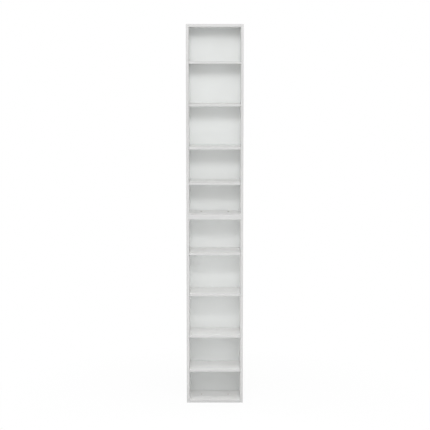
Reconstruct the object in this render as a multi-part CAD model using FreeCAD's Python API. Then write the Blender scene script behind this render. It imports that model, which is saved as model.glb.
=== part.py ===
import FreeCAD, Part
import os

# Tall narrow white bookcase: two equal modules, the upper one standing on the lower one and bolted to it.
# A module is two full-height sides with a top and a bottom board between them, a thin back panel held
# in grooves, and four loose shelves on supports. Millimetres; +Z is up and the front faces -Y. The floor
# is z = 0, under the middle of the case.

# Overall sizes.
CASE_WIDTH = 400.0
CASE_DEPTH = 280.0
MODULE_HEIGHT = 1340.0

# Boards and the bands glued on their front edges.
SIDE_THICKNESS = 18.0
DECK_THICKNESS = 18.0
SHELF_THICKNESS = 16.0
BACK_THICKNESS = 3.0
BAND_THICKNESS = 1.0
BAND_RADIUS = 0.8

# Chamfer round both ends of a module, which leaves a fine groove where the modules meet.
END_EASE = 0.5

# Back panel, in grooves in all four boards of its module.
BACK_INSET = 8.0
GROOVE_DEPTH = 7.0
GROOVE_SIDE_GAP = 0.25
GROOVE_END_GAP = 0.5

# Shelves: undersides above the base of a module, from the bottom up, and the gaps round a shelf.
SHELF_HEIGHTS = (226.0, 474.0, 774.0, 1068.0)
SHELF_SETBACK = 3.0
SHELF_END_GAP = 1.0
SHELF_BACK_GAP = 2.0

# Shelf supports: spade pins with a plug in the side, a collar against it and a flat tongue under the shelf.
# Each shelf has three holes to choose from at each support, one hole pitch apart.
SUPPORT_ROW_INSET = 37.0
HOLE_PITCH = 32.0
HOLE_STEPS = (-1, 0, 1)
PLUG_DIAMETER = 5.0
PLUG_LENGTH = 10.0
PLUG_TIP = 0.8
PLUG_GAP = 0.05
HOLE_SPARE_DEPTH = 1.0
COLLAR_DIAMETER = 7.0
COLLAR_THICKNESS = 1.2
TONGUE_LENGTH = 9.5
TONGUE_WIDTH = 8.0
TONGUE_THICKNESS = 2.4
TONGUE_RADIUS = 3.0

# Corner joints: cam locks in the hidden face of each deck, cam bolts and dowels out of the sides.
CAM_ROW_INSET = 50.0
DOWEL_SPACING = 32.0
CAM_SETBACK = 34.0
CAM_DIAMETER = 15.0
CAM_GAP = 0.1
CAM_BEYOND_BOLT = 4.5
CAM_RECESS = 0.3
CAM_FLOOR_GAP = 0.4
CAM_WALL = 1.7
CAM_SLOT_ANGLE = 150.0
CAM_KEY_WIDTH = 1.4
CAM_KEY_LENGTH = 7.0
CAM_KEY_DEPTH = 1.8
BOLT_THREAD_DIAMETER = 5.0
BOLT_THREAD_LENGTH = 11.0
BOLT_TIP = 0.8
BOLT_COLLAR_DIAMETER = 7.4
BOLT_COLLAR_LENGTH = 1.6
BOLT_COLLAR_TAPER = 0.6
BOLT_SHANK_DIAMETER = 6.2
BOLT_SHANK_TAPER = 0.8
BOLT_NECK_DIAMETER = 4.2
BOLT_NECK_LENGTH = 5.6
BOLT_HEAD_DIAMETER = 7.0
BOLT_HEAD_LENGTH = 4.2
BOLT_SHOULDER = 1.0
BOLT_HEAD_CHAMFER = 1.2
BOLT_BORE_DIAMETER = 8.0
DOWEL_DIAMETER = 8.0
DOWEL_IN_SIDE = 12.0
DOWEL_IN_DECK = 18.0
DOWEL_CHAMFER = 1.0
FIT_GAP = 0.05
BORE_SPARE_DEPTH = 1.0

# Inside of a cam lock: gaps round the bolt, and the throw of the eccentric jaws, which close in most a
# little to one side of the bolt.
CAM_NECK_GAP = 0.5
CAM_MOUTH_GAP = 0.3
CAM_CUP_GAP = 0.5
CAM_GRIP_GAP = 0.2
CAM_THROW = 2.0
CAM_THROW_ANGLE = 5.0

# Stacking: two holes through every deck. Where the modules meet, a screw and a sleeve nut clamp the decks.
STACK_SPACING = 192.0
STACK_FROM_FRONT = 160.0
STACK_HOLE_DIAMETER = 10.0
STACK_FLANGE_DIAMETER = 14.0
STACK_FLANGE_THICKNESS = 2.2
STACK_FLANGE_CHAMFER = 0.7
SLEEVE_GAP = 0.15
SLEEVE_PAST_SEAM = 6.0
SCREW_DIAMETER = 6.0
SCREW_GAP = 0.05
SCREW_PAST_SEAM = 12.0
SCREW_TIP = 1.0
SCREW_BORE_FLOOR = 2.0
SOCKET_WIDTH = 4.0
SOCKET_DEPTH = 3.0

# Floor glides, nailed under the sides of the lower module.
GLIDE_DIAMETER = 15.0
GLIDE_HEIGHT = 2.0
GLIDE_CHAMFER = 0.8
GLIDE_INSET = 22.0
NAIL_DIAMETER = 2.2
NAIL_LENGTH = 14.0
NAIL_TIP = 2.0
NAIL_SPARE_DEPTH = 0.5

# Faces that several pieces share.
FRONT = -CASE_DEPTH / 2
REAR = CASE_DEPTH / 2
BOARD_FRONT = FRONT + BAND_THICKNESS
BACK_REAR = REAR - BACK_INSET
BACK_FRONT = BACK_REAR - BACK_THICKNESS
GROOVE_FRONT = BACK_FRONT - GROOVE_SIDE_GAP
GROOVE_REAR = BACK_REAR + GROOVE_SIDE_GAP
HALF_WIDTH = CASE_WIDTH / 2
HALF_INSIDE = HALF_WIDTH - SIDE_THICKNESS
CAM_X = HALF_INSIDE - CAM_SETBACK
CAM_ROWS = (FRONT + CAM_ROW_INSET, REAR - CAM_ROW_INSET)
DOWEL_ROWS = (CAM_ROWS[0] + DOWEL_SPACING, CAM_ROWS[1] - DOWEL_SPACING)
SUPPORT_ROWS = (FRONT + SUPPORT_ROW_INSET, BACK_FRONT - SUPPORT_ROW_INSET)
STACK_Y = FRONT + STACK_FROM_FRONT
BOLT_LEVEL = DECK_THICKNESS / 2
PLUG_DROP = TONGUE_THICKNESS / 2
CAM_BORE_DEPTH = BOLT_LEVEL + CAM_BEYOND_BOLT + CAM_FLOOR_GAP
LOWER_BASE = GLIDE_HEIGHT
UPPER_BASE = LOWER_BASE + MODULE_HEIGHT
SIDEWAYS = (-1, 1)

UP = FreeCAD.Vector(0, 0, 1)
ALONG = FreeCAD.Vector(1, 0, 0)
ORIGIN = FreeCAD.Vector(0, 0, 0)


def block(x0, x1, y0, y1, z0, z1):
    return Part.makeBox(x1 - x0, y1 - y0, z1 - z0, FreeCAD.Vector(x0, y0, z0))


def rod(diameter, start, direction, length):
    return Part.makeCylinder(diameter / 2, length, FreeCAD.Vector(*start), FreeCAD.Vector(*direction))


def prism(points, sweep):
    """A closed outline of 3-D points, swept along a vector."""
    corners = [FreeCAD.Vector(*point) for point in points]
    outline = Part.makePolygon(corners + corners[:1])
    return Part.Face(outline).extrude(FreeCAD.Vector(*sweep))


def turned(profile):
    """A solid turned about +Z from (radius, height) points, the first and last of them on the axis."""
    corners = [FreeCAD.Vector(radius, 0, height) for radius, height in profile]
    outline = Part.makePolygon(corners + corners[:1])
    return Part.Face(outline).revolve(ORIGIN, UP, 360)


def set_at(shape, position, *turns):
    """A copy of a shape, turned about each (axis, degrees) in order and then moved to its position."""
    copy = shape.copy()
    for axis, degrees in turns:
        copy.rotate(ORIGIN, axis, degrees)
    copy.translate(FreeCAD.Vector(*position))
    return copy


def mirrored(shape):
    """The left-hand twin of a right-hand piece."""
    return shape.mirror(ORIGIN, ALONG)


def upside_down(shape, base):
    """The twin of a piece at the other end of the module that stands at this base."""
    return shape.mirror(FreeCAD.Vector(0, 0, base + MODULE_HEIGHT / 2), UP)


def rounded_band(strip, along, front):
    """A band with the two long edges of its front face rounded."""
    long_edges = []
    for edge in strip.Edges:
        runs = abs(edge.tangentAt(edge.FirstParameter).dot(along)) > 0.9
        if runs and abs(edge.CenterOfMass.y - front) < 1e-6:
            long_edges.append(edge)
    return strip.makeFillet(BAND_RADIUS, long_edges)


def right_side(base, on_floor):
    """A side board with the groove of the back panel, swept up from its plan, and all its drilled holes."""
    plan = [
        (HALF_INSIDE, BOARD_FRONT, base),
        (HALF_WIDTH, BOARD_FRONT, base),
        (HALF_WIDTH, REAR, base),
        (HALF_INSIDE, REAR, base),
        (HALF_INSIDE, GROOVE_REAR, base),
        (HALF_INSIDE + GROOVE_DEPTH, GROOVE_REAR, base),
        (HALF_INSIDE + GROOVE_DEPTH, GROOVE_FRONT, base),
        (HALF_INSIDE, GROOVE_FRONT, base),
    ]
    holes = []
    for height in SHELF_HEIGHTS:
        for step in HOLE_STEPS:
            level = base + height - PLUG_DROP + step * HOLE_PITCH
            for row in SUPPORT_ROWS:
                start = (HALF_INSIDE, row, level)
                holes.append(rod(PLUG_DIAMETER, start, ALONG, PLUG_LENGTH + HOLE_SPARE_DEPTH))
    for level in (base + BOLT_LEVEL, base + MODULE_HEIGHT - BOLT_LEVEL):
        for row in CAM_ROWS:
            depth = BOLT_THREAD_LENGTH + BORE_SPARE_DEPTH
            holes.append(rod(BOLT_THREAD_DIAMETER, (HALF_INSIDE, row, level), ALONG, depth))
        for row in DOWEL_ROWS:
            depth = DOWEL_IN_SIDE + BORE_SPARE_DEPTH
            holes.append(rod(DOWEL_DIAMETER, (HALF_INSIDE, row, level), ALONG, depth))
    if on_floor:
        for y in (FRONT + GLIDE_INSET, REAR - GLIDE_INSET):
            start = (HALF_WIDTH - SIDE_THICKNESS / 2, y, base)
            holes.append(rod(NAIL_DIAMETER, start, UP, NAIL_LENGTH))
    return prism(plan, (0, 0, MODULE_HEIGHT)).cut(holes)


def bottom_deck(base):
    """A bottom board, swept from its grooved section. Its cam bores open downwards, out of sight."""
    top = base + DECK_THICKNESS
    section = [
        (-HALF_INSIDE, BOARD_FRONT, base),
        (-HALF_INSIDE, REAR, base),
        (-HALF_INSIDE, REAR, top),
        (-HALF_INSIDE, GROOVE_REAR, top),
        (-HALF_INSIDE, GROOVE_REAR, top - GROOVE_DEPTH),
        (-HALF_INSIDE, GROOVE_FRONT, top - GROOVE_DEPTH),
        (-HALF_INSIDE, GROOVE_FRONT, top),
        (-HALF_INSIDE, BOARD_FRONT, top),
    ]
    holes = []
    for hand in SIDEWAYS:
        inwards = (-hand, 0, 0)
        for row in CAM_ROWS:
            end = (hand * HALF_INSIDE, row, base + BOLT_LEVEL)
            holes.append(rod(CAM_DIAMETER + 2 * CAM_GAP, (hand * CAM_X, row, base), UP, CAM_BORE_DEPTH))
            holes.append(rod(BOLT_BORE_DIAMETER, end, inwards, CAM_SETBACK))
        for row in DOWEL_ROWS:
            end = (hand * HALF_INSIDE, row, base + BOLT_LEVEL)
            holes.append(rod(DOWEL_DIAMETER, end, inwards, DOWEL_IN_DECK + BORE_SPARE_DEPTH))
        hole = (hand * STACK_SPACING / 2, STACK_Y, base)
        holes.append(rod(STACK_HOLE_DIAMETER, hole, UP, DECK_THICKNESS))
    return prism(section, (2 * HALF_INSIDE, 0, 0)).cut(holes)


def back_panel(base):
    """A thin panel that stands on the floor of the lower groove and stops short of the other three."""
    reach = GROOVE_DEPTH - GROOVE_END_GAP
    low = base + DECK_THICKNESS - GROOVE_DEPTH
    high = base + MODULE_HEIGHT - DECK_THICKNESS + reach
    return block(-HALF_INSIDE - reach, HALF_INSIDE + reach, BACK_FRONT, BACK_REAR, low, high)


def end_easing(base):
    """Wedges that take the sharp edge off the outline of a module at both its ends."""
    wedges = []
    for level, inwards in ((base, END_EASE), (base + MODULE_HEIGHT, -END_EASE)):
        for hand in SIDEWAYS:
            x = hand * HALF_WIDTH
            y = hand * REAR
            across = [(x, FRONT, level), (x - hand * END_EASE, FRONT, level), (x, FRONT, level + inwards)]
            wedges.append(prism(across, (0, CASE_DEPTH, 0)))
            along = [
                (-HALF_WIDTH, y, level),
                (-HALF_WIDTH, y - hand * END_EASE, level),
                (-HALF_WIDTH, y, level + inwards),
            ]
            wedges.append(prism(along, (CASE_WIDTH, 0, 0)))
    return wedges


def side_band(base):
    strip = block(HALF_INSIDE, HALF_WIDTH, FRONT, BOARD_FRONT, base, base + MODULE_HEIGHT)
    return rounded_band(strip, UP, FRONT)


def deck_band(base):
    strip = block(-HALF_INSIDE, HALF_INSIDE, FRONT, BOARD_FRONT, base, base + DECK_THICKNESS)
    return rounded_band(strip, ALONG, FRONT)


def shelf_and_band(level):
    """A loose shelf whose underside is at this level, and the band on its front edge."""
    end = HALF_INSIDE - SHELF_END_GAP
    front = FRONT + SHELF_SETBACK
    joint = front + BAND_THICKNESS
    board = block(-end, end, joint, BACK_FRONT - SHELF_BACK_GAP, level, level + SHELF_THICKNESS)
    strip = block(-end, end, front, joint, level, level + SHELF_THICKNESS)
    return board, rounded_band(strip, ALONG, front)


def shelf_support():
    """A right-hand spade pin: its collar stands against x = 0 and the top of its tongue lies at z = 0.

    The collar is cut level with the tongue, so that nothing of it stands up beside the shelf.
    """
    plug = PLUG_DIAMETER / 2 - PLUG_GAP
    collar = COLLAR_DIAMETER / 2
    pin = turned(
        [
            (0, -COLLAR_THICKNESS),
            (collar, -COLLAR_THICKNESS),
            (collar, 0),
            (plug, 0),
            (plug, PLUG_LENGTH - PLUG_TIP),
            (plug - PLUG_TIP, PLUG_LENGTH),
            (0, PLUG_LENGTH),
        ]
    )
    pin = set_at(pin, (0, 0, -PLUG_DROP), (FreeCAD.Vector(0, 1, 0), 90))
    pin = pin.cut(block(-COLLAR_THICKNESS, 0, -collar, collar, 0, collar))
    half = TONGUE_WIDTH / 2
    tongue = block(-TONGUE_LENGTH, -COLLAR_THICKNESS / 2, -half, half, -TONGUE_THICKNESS, 0)
    corners = []
    for edge in tongue.Edges:
        upright = abs(edge.tangentAt(edge.FirstParameter).dot(UP)) > 0.9
        if upright and abs(edge.CenterOfMass.x + TONGUE_LENGTH) < 1e-6:
            corners.append(edge)
    return pin.fuse(tongue.makeFillet(TONGUE_RADIUS, corners)).removeSplitter()


def slot_sector(low, high):
    """The part of a cam lock, between two heights, that its slot goes round. The bolt points to +X."""
    sector = Part.makeCylinder(CAM_DIAMETER, high - low, FreeCAD.Vector(0, 0, low), UP, CAM_SLOT_ANGLE)
    sector.rotate(ORIGIN, UP, -CAM_SLOT_ANGLE / 4)
    return sector


def cam_lock():
    """A cam lock on +Z with its keyed face at z = 0; the bolt reaches its middle from +X.

    The cup is open at its far end. A slot round the wall lets the neck of the bolt pass, and the wider
    mouth at the end of the slot lets the head in before the lock is turned. Above and below the slot
    are jaws with an eccentric inside. They close in from the mouth on, and draw the shoulder of the head
    towards the middle of the lock.
    """
    bolt = BOLT_LEVEL - CAM_RECESS
    height = bolt + CAM_BEYOND_BOLT
    floor = bolt - BOLT_HEAD_DIAMETER / 2 - CAM_CUP_GAP
    half_slot = BOLT_NECK_DIAMETER / 2 + CAM_NECK_GAP
    mouth = BOLT_HEAD_DIAMETER + 2 * CAM_MOUTH_GAP
    cup = rod(CAM_DIAMETER, (0, 0, 0), UP, height)
    hollow = rod(CAM_DIAMETER - 2 * CAM_WALL, (0, 0, floor), UP, height)

    # The shoulder of the head is a cone, and the jaws bear on it at the height where the slot ends.
    steepness = 2 * BOLT_SHOULDER / (BOLT_HEAD_DIAMETER - BOLT_NECK_DIAMETER)
    bearing = BOLT_HEAD_LENGTH / 2 - steepness * CAM_NECK_GAP
    inside = 2 * (bearing + CAM_GRIP_GAP + CAM_THROW)
    eccentric = rod(inside, (-CAM_THROW, 0, 0), UP, 2 * height)
    eccentric.rotate(ORIGIN, UP, -CAM_THROW_ANGLE)
    jaws = slot_sector(floor, height).cut(eccentric)

    slot = slot_sector(bolt - half_slot, bolt + half_slot)
    entry = rod(mouth, (0, 0, bolt), ALONG, CAM_DIAMETER)
    entry.rotate(ORIGIN, UP, CAM_SLOT_ANGLE * 3 / 4)
    key = block(
        -CAM_KEY_LENGTH / 2, CAM_KEY_LENGTH / 2, -CAM_KEY_WIDTH / 2, CAM_KEY_WIDTH / 2, 0, CAM_KEY_DEPTH
    )
    crossing_key = set_at(key, (0, 0, 0), (UP, 90))
    return cup.cut([hollow.cut(jaws), slot, entry, key, crossing_key])


def cam_bolt():
    """A cam bolt on +Z: thread below z = 0, then collar, shank, neck and head inside the deck."""
    thread = BOLT_THREAD_DIAMETER / 2 - FIT_GAP
    collar = BOLT_COLLAR_DIAMETER / 2
    shank = BOLT_SHANK_DIAMETER / 2
    neck = BOLT_NECK_DIAMETER / 2
    head = BOLT_HEAD_DIAMETER / 2
    head_end = CAM_SETBACK + BOLT_HEAD_LENGTH / 2
    head_start = head_end - BOLT_HEAD_LENGTH
    neck_start = head_start - BOLT_NECK_LENGTH
    return turned(
        [
            (0, -BOLT_THREAD_LENGTH),
            (thread - BOLT_TIP, -BOLT_THREAD_LENGTH),
            (thread, -BOLT_THREAD_LENGTH + BOLT_TIP),
            (thread, 0),
            (collar, 0),
            (collar, BOLT_COLLAR_LENGTH),
            (shank, BOLT_COLLAR_LENGTH + BOLT_COLLAR_TAPER),
            (shank, neck_start - BOLT_SHANK_TAPER),
            (neck, neck_start),
            (neck, head_start),
            (head, head_start + BOLT_SHOULDER),
            (head, head_end - BOLT_HEAD_CHAMFER),
            (head - BOLT_HEAD_CHAMFER, head_end),
            (0, head_end),
        ]
    )


def dowel():
    """A dowel on +Z, from its end in the side below z = 0 to its end in the deck."""
    radius = DOWEL_DIAMETER / 2 - FIT_GAP
    return turned(
        [
            (0, -DOWEL_IN_SIDE),
            (radius - DOWEL_CHAMFER, -DOWEL_IN_SIDE),
            (radius, -DOWEL_IN_SIDE + DOWEL_CHAMFER),
            (radius, DOWEL_IN_DECK - DOWEL_CHAMFER),
            (radius - DOWEL_CHAMFER, DOWEL_IN_DECK),
            (0, DOWEL_IN_DECK),
        ]
    )


def corner_fittings(base):
    """Cam locks, cam bolts and dowels of the four corners of a module."""
    locks, bolts, dowels = [], [], []
    top = base + MODULE_HEIGHT
    lock, bolt, pin = cam_lock(), cam_bolt(), dowel()
    for hand in SIDEWAYS:
        inwards = (FreeCAD.Vector(0, 1, 0), -90 * hand)
        facing = (UP, 0 if hand > 0 else 180)
        for row in CAM_ROWS:
            locks.append(set_at(lock, (hand * CAM_X, row, base + CAM_RECESS), facing))
            over = (ALONG, 180)
            locks.append(set_at(lock, (hand * CAM_X, row, top - CAM_RECESS), over, facing))
        for level in (base + BOLT_LEVEL, top - BOLT_LEVEL):
            for row in CAM_ROWS:
                bolts.append(set_at(bolt, (hand * HALF_INSIDE, row, level), inwards))
            for row in DOWEL_ROWS:
                dowels.append(set_at(pin, (hand * HALF_INSIDE, row, level), inwards))
    return locks, bolts, dowels


def module_supports(base):
    """Four supports under each shelf of a module."""
    support = shelf_support()
    supports = []
    for height in SHELF_HEIGHTS:
        for hand in SIDEWAYS:
            for row in SUPPORT_ROWS:
                turn = (UP, 0 if hand > 0 else 180)
                supports.append(set_at(support, (hand * HALF_INSIDE, row, base + height), turn))
    return supports


def hexagon_socket():
    """The key socket of a stacking screw, cut down from z = 0."""
    across_corners = SOCKET_WIDTH / 0.75**0.5
    start = FreeCAD.Vector(across_corners / 2, 0, 0)
    points = []
    for corner in range(6):
        points.append(tuple(FreeCAD.Rotation(UP, 60 * corner).multVec(start)))
    return prism(points, (0, 0, -SOCKET_DEPTH))


def stack_screw():
    """A screw on -Z: its flange stands on z = 0, the upper face of the upper deck."""
    flange = STACK_FLANGE_DIAMETER / 2
    radius = SCREW_DIAMETER / 2 - SCREW_GAP
    length = DECK_THICKNESS + SCREW_PAST_SEAM
    body = turned(
        [
            (0, -length),
            (radius - SCREW_TIP, -length),
            (radius, -length + SCREW_TIP),
            (radius, 0),
            (flange, 0),
            (flange, STACK_FLANGE_THICKNESS - STACK_FLANGE_CHAMFER),
            (flange - STACK_FLANGE_CHAMFER, STACK_FLANGE_THICKNESS),
            (0, STACK_FLANGE_THICKNESS),
        ]
    )
    return body.cut(set_at(hexagon_socket(), (0, 0, STACK_FLANGE_THICKNESS)))


def stack_sleeve():
    """A sleeve nut on +Z: its flange hangs under z = 0, the lower face of the lower deck."""
    flange = STACK_FLANGE_DIAMETER / 2
    barrel = STACK_HOLE_DIAMETER / 2 - SLEEVE_GAP
    bore = SCREW_DIAMETER / 2
    top = DECK_THICKNESS + SLEEVE_PAST_SEAM
    return turned(
        [
            (0, -STACK_FLANGE_THICKNESS),
            (flange - STACK_FLANGE_CHAMFER, -STACK_FLANGE_THICKNESS),
            (flange, -STACK_FLANGE_THICKNESS + STACK_FLANGE_CHAMFER),
            (flange, 0),
            (barrel, 0),
            (barrel, top),
            (bore, top),
            (bore, SCREW_BORE_FLOOR),
            (0, SCREW_BORE_FLOOR),
        ]
    )


def floor_glide():
    """A glide and its nail, on +Z from the floor at z = 0."""
    radius = GLIDE_DIAMETER / 2
    nail = NAIL_DIAMETER / 2 - FIT_GAP
    tip = GLIDE_HEIGHT + NAIL_LENGTH - NAIL_SPARE_DEPTH
    return turned(
        [
            (0, 0),
            (radius - GLIDE_CHAMFER, 0),
            (radius, GLIDE_CHAMFER),
            (radius, GLIDE_HEIGHT),
            (nail, GLIDE_HEIGHT),
            (nail, tip - NAIL_TIP),
            (0, tip),
        ]
    )


def module_nodes(name, base, on_floor, first_shelf):
    """The named shapes of one module."""
    easing = end_easing(base)
    side = right_side(base, on_floor).cut(easing)
    deck = bottom_deck(base).cut(easing)
    band = side_band(base).cut(easing)
    low_band = deck_band(base)
    locks, bolts, dowels = corner_fittings(base)
    nodes = {
        name + "_right_side": side,
        name + "_left_side": mirrored(side),
        name + "_bottom_board": deck,
        name + "_top_board": upside_down(deck, base),
        name + "_back_panel": back_panel(base),
        name + "_side_bands": Part.makeCompound([band, mirrored(band)]),
        name + "_board_bands": Part.makeCompound([low_band, upside_down(low_band, base)]),
        name + "_cam_locks": Part.makeCompound(locks),
        name + "_cam_bolts": Part.makeCompound(bolts),
        name + "_dowels": Part.makeCompound(dowels),
        name + "_shelf_supports": Part.makeCompound(module_supports(base)),
    }
    for number, height in enumerate(SHELF_HEIGHTS, first_shelf):
        board, strip = shelf_and_band(base + height)
        nodes["shelf_%d" % number] = board
        nodes["shelf_%d_band" % number] = strip
    return nodes


def joining_nodes():
    """The stacking hardware between the modules and the glides under the case."""
    screw, sleeve, glide = stack_screw(), stack_sleeve(), floor_glide()
    screws, sleeves, glides = [], [], []
    for hand in SIDEWAYS:
        x = hand * STACK_SPACING / 2
        screws.append(set_at(screw, (x, STACK_Y, UPPER_BASE + DECK_THICKNESS)))
        sleeves.append(set_at(sleeve, (x, STACK_Y, UPPER_BASE - DECK_THICKNESS)))
        for y in (FRONT + GLIDE_INSET, REAR - GLIDE_INSET):
            glides.append(set_at(glide, (hand * (HALF_WIDTH - SIDE_THICKNESS / 2), y, 0)))
    return {
        "stack_screws": Part.makeCompound(screws),
        "stack_sleeves": Part.makeCompound(sleeves),
        "floor_glides": Part.makeCompound(glides),
    }


nodes = module_nodes("lower", LOWER_BASE, True, 1)
nodes.update(module_nodes("upper", UPPER_BASE, False, len(SHELF_HEIGHTS) + 1))
nodes.update(joining_nodes())

os.makedirs("parts", exist_ok=True)
for node, shape in nodes.items():
    if not shape.isValid():
        raise ValueError(node + " is not a valid shape")
    shape.exportStep("parts/%s.step" % node)
print("%d nodes" % len(nodes))
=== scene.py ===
import math

import bmesh
import bpy
from bpy.props import FloatProperty, FloatVectorProperty, PointerProperty
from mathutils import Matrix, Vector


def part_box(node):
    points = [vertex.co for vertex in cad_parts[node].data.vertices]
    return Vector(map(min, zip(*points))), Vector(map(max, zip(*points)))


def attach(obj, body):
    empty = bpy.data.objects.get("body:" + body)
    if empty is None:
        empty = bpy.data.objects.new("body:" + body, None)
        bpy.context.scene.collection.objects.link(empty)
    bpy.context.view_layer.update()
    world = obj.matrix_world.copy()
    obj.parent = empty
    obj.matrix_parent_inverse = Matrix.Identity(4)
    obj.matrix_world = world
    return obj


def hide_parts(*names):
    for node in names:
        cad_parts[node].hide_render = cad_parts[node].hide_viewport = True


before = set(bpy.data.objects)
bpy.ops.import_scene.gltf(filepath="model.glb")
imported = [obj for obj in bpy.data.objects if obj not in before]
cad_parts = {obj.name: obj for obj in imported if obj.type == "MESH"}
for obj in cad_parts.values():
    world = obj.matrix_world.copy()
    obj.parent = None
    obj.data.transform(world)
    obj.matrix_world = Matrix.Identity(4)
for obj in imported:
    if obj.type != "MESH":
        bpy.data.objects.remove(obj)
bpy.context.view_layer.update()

bl_info = {
    "name": "White stacking bookcase",
    "version": (1, 0, 0),
    "blender": (4, 5, 0),
    "location": "3D View > Sidebar > Bookcase",
    "description": "Finishes and fittings of a tall narrow bookcase made of two stacked modules",
    "category": "Object",
}

MM = 0.001
QUARTER_TURN = math.pi / 2
UNTURNED = (0.0, 0.0, 0.0)
# Degrees from which an edge is sharp, and metres within which two points are one.
SHARP_ANGLE = 35.0
SAME_PLACE = 1e-6

MODULES = ("lower", "upper")
SIDES = ((-1, "left"), (1, "right"))
SHELVES = tuple("shelf_%d" % number for number in range(1, 9))
DECKS = tuple("%s_%s_board" % (module, level) for module in MODULES for level in ("bottom", "top"))

# Places that the fittings share with the boards they sit in.
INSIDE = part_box("lower_bottom_board")[1].x
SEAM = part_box("upper_left_side")[0].z
DECK_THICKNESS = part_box("lower_bottom_board")[1].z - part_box("lower_bottom_board")[0].z
MODULE_ENDS = tuple(
    (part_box(module + "_left_side")[0].z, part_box(module + "_left_side")[1].z) for module in MODULES
)
SHELF_UNDERSIDES = tuple(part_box(shelf)[0].z for shelf in SHELVES)
PIN_ROWS = ((-103 * MM, "front"), (92 * MM, "rear"))
CAM_ROWS = ((-90 * MM, "front"), (90 * MM, "rear"))
DOWEL_ROWS = ((-58 * MM, "front"), (58 * MM, "rear"))
CAM_REACH = 34 * MM
CAM_RECESS = 0.3 * MM
CAM_SLOT_START = math.radians(-37.5)
CAM_SLOT_STOP = math.radians(112.5)
STACK_PLACES = ((-96 * MM, 20 * MM, "left"), (96 * MM, 20 * MM, "right"))
GLIDE_PLACES = tuple((x * MM, y * MM) for x in (-191, 191) for y in (-118, 118))


def length_setting(name, description, default):
    """A size of a fitting that a user may change."""
    return FloatProperty(
        name=name, description=description, default=default, min=0.0, unit="LENGTH", precision=5
    )


def colour_setting(name, description, default):
    """A colour of a finish that a user may change."""
    return FloatVectorProperty(
        name=name, description=description, default=default, min=0.0, max=1.0, size=3, subtype="COLOR"
    )


def power_setting(name, description, default):
    """The power of a lamp that a user may change."""
    return FloatProperty(name=name, description=description, default=default, min=0.0, unit="POWER")


class BookcaseFinishes(bpy.types.PropertyGroup):
    """Colours of the boards, panels and fittings."""

    board_white: colour_setting(
        "Board white", "Melamine on the wide faces of sides, decks and shelves", (0.9, 0.9, 0.895)
    )
    # The edge band colour is greyer than the board white: partly the band's own colour, partly painted
    # shade of the front faces.
    band_white_with_painted_shade: colour_setting(
        "Edge band white", "Plastic band on the front edges of the boards", (0.59, 0.59, 0.587)
    )
    glue_line: colour_setting(
        "Glue line", "Thin line where an edge band meets its board", (0.52, 0.5, 0.45)
    )
    chip_light: colour_setting("Light chips", "Pale chips in the raw board edges", (0.62, 0.43, 0.25))
    chip_dark: colour_setting("Dark chips", "Dark chips in the raw board edges", (0.28, 0.16, 0.08))
    panel_white: colour_setting(
        "Back panel white", "Lacquer on the front of the back panels", (0.855, 0.872, 0.866)
    )
    panel_brown: colour_setting(
        "Back panel brown", "Raw hardboard on the rear of the back panels", (0.2, 0.115, 0.058)
    )
    nickel: colour_setting("Nickel", "Plated shelf pins and stacking fittings", (0.62, 0.6, 0.56))
    zinc_casting: colour_setting("Zinc casting", "Die-cast cam locks", (0.5, 0.51, 0.53))
    zinc_plate: colour_setting("Zinc plating", "Plated cam bolts", (0.58, 0.6, 0.63))
    beech: colour_setting("Beech", "Wood of the dowels", (0.55, 0.36, 0.2))
    glide_white: colour_setting("Glide white", "Moulded plastic of the floor glides", (0.74, 0.74, 0.72))


class BookcaseFittings(bpy.types.PropertyGroup):
    """Sizes of the modelled fittings."""

    plug_diameter: length_setting("Pin plug", "Diameter of the plug of a shelf pin", 4.9 * MM)
    plug_length: length_setting("Pin plug length", "Length of the plug of a shelf pin", 10 * MM)
    collar_diameter: length_setting("Pin collar", "Diameter of the collar of a shelf pin", 7 * MM)
    collar_thickness: length_setting("Pin collar thickness", "Thickness of that collar", 1.2 * MM)
    tongue_length: length_setting("Pin tongue", "Reach of the tongue under the shelf", 9.5 * MM)
    tongue_width: length_setting("Pin tongue width", "Width of the tongue", 8 * MM)
    tongue_thickness: length_setting("Pin tongue thickness", "Thickness of the tongue", 2.4 * MM)
    cam_diameter: length_setting("Cam lock", "Diameter of a cam lock", 15 * MM)
    cam_height: length_setting("Cam lock height", "Height of a cam lock", 13.2 * MM)
    cam_key_length: length_setting("Cam key", "Length of the cross in a cam lock", 7 * MM)
    cam_key_width: length_setting("Cam key width", "Width of the cross in a cam lock", 1.4 * MM)
    flange_diameter: length_setting("Stacking flange", "Flange of stacking screws and sleeves", 14 * MM)
    flange_thickness: length_setting("Stacking flange thickness", "Thickness of that flange", 2.2 * MM)
    socket_width: length_setting("Key socket", "Width across flats of the hexagon socket", 4 * MM)
    screw_diameter: length_setting("Stacking thread", "Diameter of the stacking screws", 5.9 * MM)
    thread_pitch: length_setting("Thread pitch", "Pitch of the stacking screws", 1 * MM)
    dowel_diameter: length_setting("Dowel", "Diameter of a dowel", 7.9 * MM)
    glide_diameter: length_setting("Glide", "Diameter of a floor glide", 15 * MM)


class BookcaseStage(bpy.types.PropertyGroup):
    """Camera and light of the studio."""

    camera_distance: length_setting("Camera distance", "Camera in front of the middle of the case", 8.5)
    camera_height: length_setting("Camera height", "Camera above the floor", 2.4)
    camera_tilt: FloatProperty(
        name="Camera tilt",
        description="Angle of the view below the horizon",
        default=math.radians(7.118),
        subtype="ANGLE",
    )
    camera_lens: FloatProperty(
        name="Lens", description="Focal length", default=100.44, min=10.0, unit="CAMERA"
    )
    key_power: power_setting("Key light", "Power of the soft light high in front", 34.0)
    far_power: power_setting("Far light", "Power of the tall light behind the key light", 73.0)
    low_power: power_setting("Low light", "Power of the low light close in front", 2.8)
    over_power: power_setting("Overhead light", "Power of the light above the floor", 22.0)
    room_light: FloatProperty(
        name="Room light", description="Strength of the even white surroundings", default=0.72, min=0.0
    )


# Materials


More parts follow.
